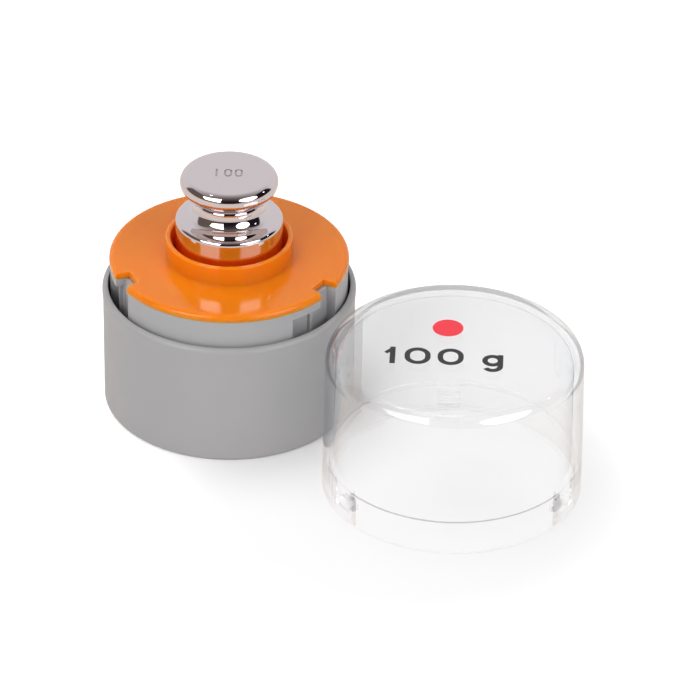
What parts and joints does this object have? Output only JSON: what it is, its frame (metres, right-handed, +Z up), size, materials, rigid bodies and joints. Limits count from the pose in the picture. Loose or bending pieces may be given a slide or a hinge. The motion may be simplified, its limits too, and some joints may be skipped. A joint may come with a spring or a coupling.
{
  "type": "scale weight",
  "caption": "Polished knob weight for checking scales, standing in the turning seat of a small moulded case, with the case's clear bayonet lid beside it.",
  "frame": {"origin": "middle of the cup's underside, on the table and on the weight's axis", "axes": "+Z up along the weight's axis, +X to the viewer's right and +Y away from the viewer who reads the figures on the knob"},
  "size_m": [0.0985, 0.0838, 0.0531],
  "materials": {
    "case_plastic": "satin",
    "carrier_plastic": "satin",
    "seat_plastic": "gloss",
    "body_steel": "polished",
    "knob_steel": "polished",
    "shot_steel": "satin",
    "clear_plastic": "gloss"
  },
  "bodies": {
    "case": {"outer_cup": "case_plastic", "inner_carrier": "carrier_plastic"},
    "seat": {"weight_insert": "seat_plastic"},
    "weight": {"weight_body": "body_steel", "adjusting_shot": "shot_steel"},
    "knob": {"weight_knob": "knob_steel"},
    "lid": {"clear_lid": "clear_plastic"}
  },
  "joints": [
    {"name": "insert_turn", "type": "hinge", "parent": "case", "child": "seat", "pos_m": [0, 0, 0.0326], "axis": [0, 0, 1], "range_deg": [-18, 0]},
    {"name": "weight_lift", "type": "slide", "parent": "seat", "child": "weight", "axis": [0, 0, 1], "range_m": [0, 0.045]},
    {"name": "knob_unscrew", "type": "hinge", "parent": "weight", "child": "knob", "pos_m": [0, 0, 0.0463], "axis": [0, 0, 1], "range_deg": [0, 2520]},
    {"name": "lid_lift", "type": "slide", "parent": "case", "child": "lid", "axis": [0, 0, 1], "range_m": [0, 0.06]}
  ]
}
